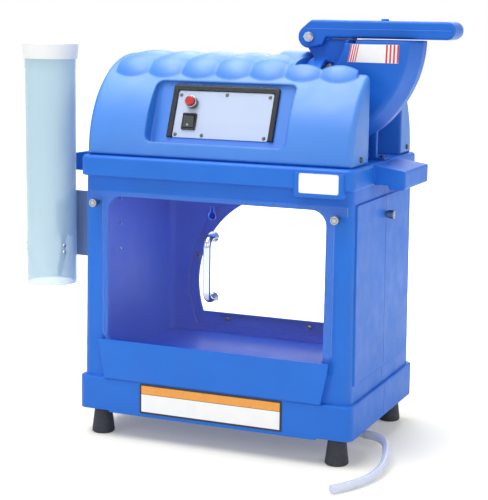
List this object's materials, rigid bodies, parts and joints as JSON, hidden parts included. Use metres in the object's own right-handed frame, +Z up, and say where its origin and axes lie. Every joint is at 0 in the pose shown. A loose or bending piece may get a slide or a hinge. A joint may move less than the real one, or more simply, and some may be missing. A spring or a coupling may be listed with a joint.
{
  "type": "ice shaver",
  "caption": "Electric ice shaver: moulded cabinet with a windowed ice bin, fluted motor housing, hopper with a hand lever, cup tube and drain hose.",
  "frame": {"origin": "on the floor, under the middle of the whole machine with its cup tube, lever and guard handle", "axes": "+X to the operator's right, +Y away from the operator, +Z up"},
  "size_m": [0.716, 0.4543, 0.699],
  "materials": {
    "cabinet_blue": "satin moulded polyethylene",
    "housing_blue": "satin moulded polyethylene",
    "feed_blue": "semi-gloss moulded plastic",
    "clear_sheet": "clear polycarbonate sheet",
    "frosted_tube": "translucent frosted plastic",
    "white_cap": "soft white plastic",
    "black_rubber": "matte moulded rubber",
    "black_plastic": "glossy black plastic",
    "red_button": "glossy red plastic",
    "lamp_lens": "small pale lens",
    "steel": "zinc plated fasteners",
    "chrome": "polished chrome",
    "panel_silver": "fine brushed aluminium",
    "sheet_steel": "dull stainless sheet",
    "sign_face": "bare printed face",
    "motor_paint": "dark enamel",
    "cast_disc": "machined casting",
    "blade_steel": "ground blade steel",
    "drain_white": "white moulded fitting",
    "hose_clear": "clear soft vinyl",
    "bush_nylon": "natural nylon"
  },
  "bodies": {
    "cabinet": {"cabinet_shell": "cabinet_blue", "rear_window": "clear_sheet", "rear_window_screws": "steel", "foot_front_left": "black_rubber", "foot_front_right": "black_rubber", "foot_rear_left": "black_rubber", "foot_rear_right": "black_rubber", "feet_screws": "steel", "front_plate": "sign_face", "drain_fitting": "drain_white", "drain_hose": "hose_clear", "dome_housing": "housing_blue", "dome_screws": "steel", "control_plate": "panel_silver", "control_trim": "black_rubber", "control_screws": "steel", "button_collar": "chrome", "button_switch": "black_plastic", "rocker_bezel": "black_plastic", "rocker_switch": "black_plastic", "motor_body": "motor_paint", "motor_end_bells": "cast_disc", "motor_cradle": "motor_paint", "motor_bolts": "steel", "ice_chute": "sheet_steel", "hopper": "feed_blue", "hopper_screws": "steel", "pivot_bolt": "chrome", "pivot_nut": "chrome", "cup_tube": "frosted_tube", "cup_fingers": "bush_nylon", "cup_rivets": "steel", "cup_bracket": "sheet_steel", "bracket_screws": "steel"},
    "guard": {"guard_panel": "clear_sheet", "guard_handle": "chrome", "guard_handle_screws": "steel"},
    "guard_knob_left": {"guard_knob_left": "chrome"},
    "guard_knob_right": {"guard_knob_right": "chrome"},
    "side_knob": {"side_knob": "chrome"},
    "button": {"motor_button": "red_button"},
    "rocker": {"power_rocker": "black_plastic", "rocker_lamp": "lamp_lens"},
    "rotor": {"motor_shaft": "steel", "cutter_disc": "cast_disc", "cutter_blades": "blade_steel", "blade_screws": "steel", "cutter_nut": "steel"},
    "lever": {"lever_arm": "feed_blue", "lever_bushes": "bush_nylon", "lever_cap": "feed_blue", "pusher_plate": "sheet_steel", "pusher_bolts": "steel"},
    "cap": {"cup_cap": "white_cap"}
  },
  "joints": [
    {"name": "lever_hinge", "type": "hinge", "parent": "cabinet", "child": "lever", "pos_m": [0.1165, 0.017, 0.669], "axis": [0, -1, 0], "range_deg": [0, 110]},
    {"name": "cutter_spin", "type": "hinge", "parent": "cabinet", "child": "rotor", "pos_m": [0.1115, 0.017, 0.556], "axis": [1, 0, 0], "continuous": true},
    {"name": "motor_button_press", "type": "slide", "parent": "cabinet", "child": "button", "axis": [0, 0.9304, -0.3665], "range_m": [0, 0.004], "stiffness_N_per_m": 900, "springref_m": -0.001},
    {"name": "power_rocker_tip", "type": "hinge", "parent": "cabinet", "child": "rocker", "pos_m": [-0.048, -0.11022, 0.53064], "axis": [-1, 0, 0], "range_deg": [0, 16]},
    {"name": "guard_lift", "type": "slide", "parent": "cabinet", "child": "guard", "axis": [0, 0, 1], "range_m": [0, 0.012]},
    {"name": "cup_cap_lift", "type": "slide", "parent": "cabinet", "child": "cap", "axis": [0, 0, 1], "range_m": [0, 0.045]},
    {"name": "guard_knob_left_turn", "type": "hinge", "parent": "cabinet", "child": "guard_knob_left", "pos_m": [-0.1975, -0.157, 0.3955], "axis": [0, -1, 0], "continuous": true},
    {"name": "guard_knob_right_turn", "type": "hinge", "parent": "cabinet", "child": "guard_knob_right", "pos_m": [0.2205, -0.157, 0.3955], "axis": [0, -1, 0], "continuous": true},
    {"name": "side_knob_turn", "type": "hinge", "parent": "cabinet", "child": "side_knob", "pos_m": [0.2515, 0.017, 0.385], "axis": [1, 0, 0], "continuous": true}
  ]
}
